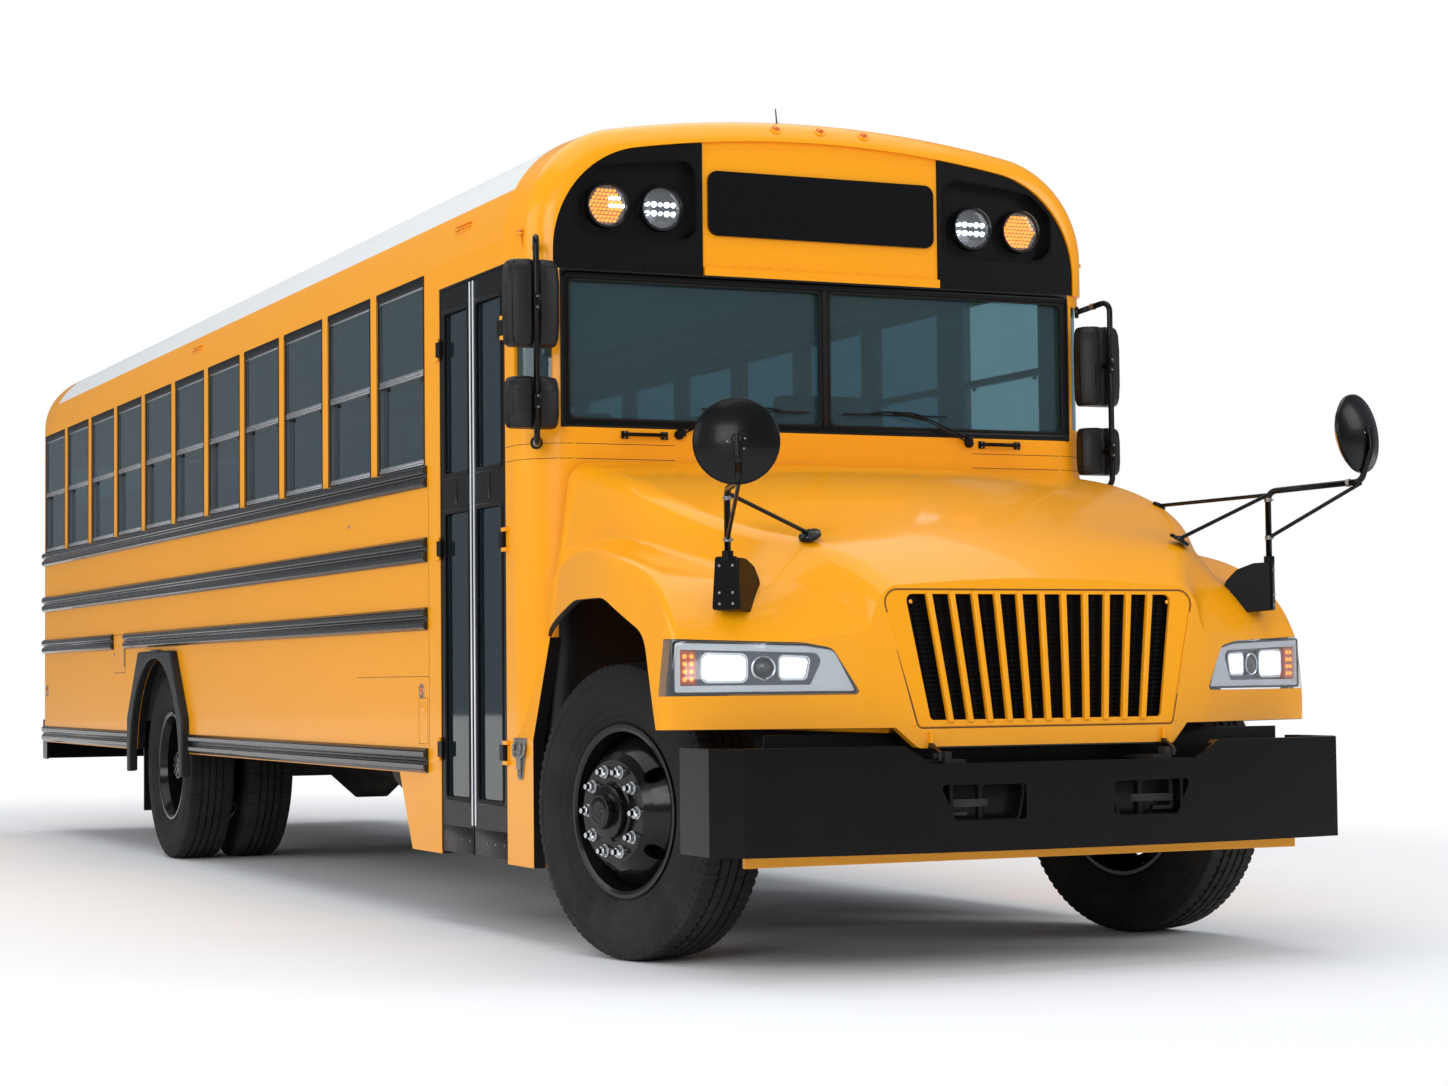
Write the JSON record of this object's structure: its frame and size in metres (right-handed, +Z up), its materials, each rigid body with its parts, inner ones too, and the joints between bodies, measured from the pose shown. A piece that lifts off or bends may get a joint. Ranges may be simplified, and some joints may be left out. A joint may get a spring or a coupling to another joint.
{
  "type": "school bus",
  "caption": "Conventional school bus with a bonneted front, side windows in a row, black rub rails, folding entry door and twin rear wheels.",
  "frame": {"origin": "on the ground under the middle of the bus's bounding box", "axes": "+Z up, -Y towards the front of the bus, +Y towards its rear, +X towards the driver's side"},
  "size_m": [2.6953, 11.217, 3.187],
  "materials": {
    "yellow_paint": "gloss",
    "white_paint": "gloss",
    "black_paint": "gloss",
    "chassis_black": "satin",
    "cast": "matte",
    "alloy_frame": "satin",
    "window_glass": "gloss",
    "lamp_glass": "gloss",
    "lamp_plastic": "gloss",
    "tyre_rubber": "matte",
    "trim_black": "satin",
    "steel": "satin",
    "seat_cover": "satin",
    "stop_red": "gloss",
    "floor_covering": "matte"
  },
  "bodies": {
    "body": {"body_fittings": "trim_black", "body_glass": "window_glass", "bumper_strip": "yellow_paint", "bumpers": "black_paint", "chassis_frame": "chassis_black", "cowl": "yellow_paint", "dashboard": "trim_black", "engine_block": "cast", "entry_steps": "floor_covering", "exhaust": "steel", "floor": "floor_covering", "front_axle": "cast", "front_cap": "yellow_paint", "front_panels": "black_paint", "fuel_tank": "chassis_black", "handrails": "yellow_paint", "leaf_springs": "steel", "rear_axle": "cast", "rear_wall": "yellow_paint", "roof_shell": "white_paint", "rub_rails": "black_paint", "seats": "seat_cover", "side_mirrors": "trim_black", "side_wall_left": "yellow_paint", "side_wall_right": "yellow_paint", "warning_lamps": "lamp_plastic", "window_frames": "alloy_frame"},
    "hood": {"hood": "yellow_paint", "headlamps": "lamp_glass", "grille": "yellow_paint", "crossview_mirrors": "trim_black"},
    "roof_hatch_front": {"roof_hatch_front": "white_paint"},
    "roof_hatch_rear": {"roof_hatch_rear": "white_paint"},
    "entry_door_front": {"entry_door_front": "black_paint", "entry_door_front_glass": "window_glass"},
    "entry_door_rear": {"entry_door_rear": "black_paint", "entry_door_rear_glass": "window_glass"},
    "rear_door": {"rear_door": "yellow_paint", "rear_door_glass": "window_glass"},
    "stop_arm": {"stop_arm": "stop_red"},
    "knuckle_left": {"knuckle_left": "cast"},
    "knuckle_right": {"knuckle_right": "cast"},
    "tie_rod": {"tie_rod": "steel"},
    "wheel_front_left": {"wheel_front_left": "black_paint", "tyre_front_left": "tyre_rubber"},
    "wheel_front_right": {"wheel_front_right": "black_paint", "tyre_front_right": "tyre_rubber"},
    "wheels_rear_left": {"wheels_rear_left": "black_paint", "tyres_rear_left": "tyre_rubber"},
    "wheels_rear_right": {"wheels_rear_right": "black_paint", "tyres_rear_right": "tyre_rubber"}
  },
  "joints": [
    {"name": "steer_left", "type": "hinge", "parent": "body", "child": "knuckle_left", "pos_m": [0.9, -4.4515, 0.515], "axis": [0, 0, 1], "range_deg": [-51.5, 24.5]},
    {"name": "steer_right", "type": "hinge", "parent": "body", "child": "knuckle_right", "pos_m": [-0.9, -4.4515, 0.515], "axis": [0, 0, 1], "range_deg": [-51.5, 24.5]},
    {"name": "tie_rod_pivot", "type": "hinge", "parent": "knuckle_left", "child": "tie_rod", "pos_m": [0.85565, -4.26675, 0.431], "axis": [0, 0, 1], "range_deg": [-24.5, 51.5]},
    {"name": "wheel_front_left_spin", "type": "hinge", "parent": "knuckle_left", "child": "wheel_front_left", "pos_m": [1.02641, -4.42115, 0.515], "axis": [0.9724, 0.2334, 0], "continuous": true},
    {"name": "wheels_rear_left_spin", "type": "hinge", "parent": "body", "child": "wheels_rear_left", "pos_m": [1.05, 2.0685, 0.515], "axis": [1, 0, 0], "continuous": true},
    {"name": "wheel_front_right_spin", "type": "hinge", "parent": "knuckle_right", "child": "wheel_front_right", "pos_m": [-1.02641, -4.48185, 0.515], "axis": [0.9724, 0.2334, 0], "continuous": true},
    {"name": "wheels_rear_right_spin", "type": "hinge", "parent": "body", "child": "wheels_rear_right", "pos_m": [-1.05, 2.0685, 0.515], "axis": [1, 0, 0], "continuous": true},
    {"name": "entry_door_front_hinge", "type": "hinge", "parent": "body", "child": "entry_door_front", "pos_m": [-1.228, -3.5765, 1.4], "axis": [0, 0, 1], "range_deg": [0, 88]},
    {"name": "entry_door_rear_hinge", "type": "hinge", "parent": "body", "child": "entry_door_rear", "pos_m": [-1.228, -2.8165, 1.4], "axis": [0, 0, 1], "range_deg": [-88, 0]},
    {"name": "rear_door_hinge", "type": "hinge", "parent": "body", "child": "rear_door", "pos_m": [-0.424, 5.5075, 1.7], "axis": [0, 0, 1], "range_deg": [0, 110]},
    {"name": "roof_hatch_front_hinge", "type": "hinge", "parent": "body", "child": "roof_hatch_front", "pos_m": [0, -1.2035, 3.171], "axis": [1, 0, 0], "range_deg": [0, 90]},
    {"name": "roof_hatch_rear_hinge", "type": "hinge", "parent": "body", "child": "roof_hatch_rear", "pos_m": [0, 2.6965, 3.171], "axis": [1, 0, 0], "range_deg": [0, 90]},
    {"name": "hood_hinge", "type": "hinge", "parent": "body", "child": "hood", "pos_m": [0, -5.5235, 0.712], "axis": [1, 0, 0], "range_deg": [0, 62]},
    {"name": "stop_arm_hinge", "type": "hinge", "parent": "body", "child": "stop_arm", "pos_m": [1.255, -3.3915, 1.5], "axis": [0, 0, 1], "range_deg": [-90, 0]}
  ],
  "couplings": [
    {"joint": "steer_right", "follows": "steer_left", "ratio": 1},
    {"joint": "tie_rod_pivot", "follows": "steer_left", "ratio": -1},
    {"joint": "entry_door_rear_hinge", "follows": "entry_door_front_hinge", "ratio": -1}
  ]
}
